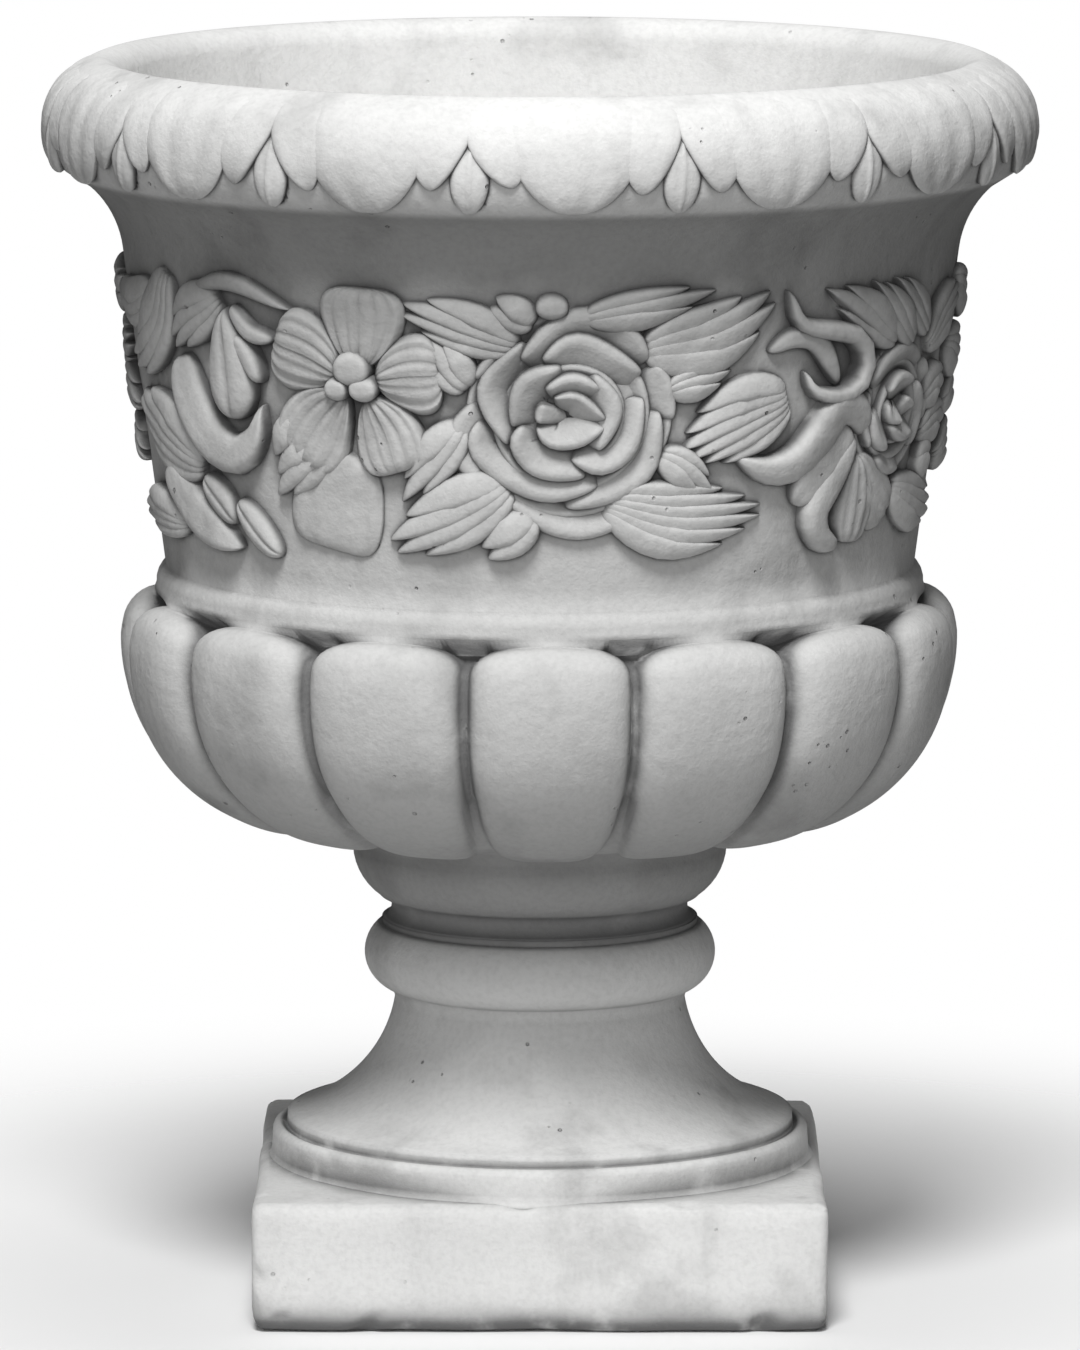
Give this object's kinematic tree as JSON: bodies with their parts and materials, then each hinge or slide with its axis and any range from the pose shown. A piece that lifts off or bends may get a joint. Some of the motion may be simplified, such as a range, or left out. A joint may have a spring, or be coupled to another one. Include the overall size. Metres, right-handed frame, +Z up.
{
  "type": "urn planter",
  "caption": "Cast stone urn planter with a leafy rolled rim, flowered wall, lobed belly and a trumpet foot on a square plinth.",
  "frame": {"origin": "middle of the plinth's underside, on the ground", "axes": "+Z up along the urn's axis; the large rose faces -Y; +X to the viewer's right"},
  "size_m": [0.404, 0.404, 0.5],
  "materials": {
    "cast_stone": "fine cast surface with small air holes and grey dirt in the hollows",
    "mortar": "rough sandy bedding mortar",
    "tube_plastic": "smooth matt tube",
    "stainless_steel": "drawn bar",
    "reinforcing_steel": "mill finish bar with light rust"
  },
  "bodies": {
    "root": {"bowl": "cast_stone", "foot": "cast_stone", "mortar_bed": "mortar", "drain_tube": "tube_plastic", "dowel_pins": "stainless_steel", "rim_hoop": "reinforcing_steel", "belly_hoop": "reinforcing_steel", "plinth_hoop": "reinforcing_steel", "wall_bars": "reinforcing_steel", "stem_bars": "reinforcing_steel", "rim_leaves": "cast_stone", "large_roses": "cast_stone", "small_roses": "cast_stone", "blossoms": "cast_stone", "lilies": "cast_stone", "curled_leaves": "cast_stone", "leaf_sprays": "cast_stone"}
  },
  "joints": []
}
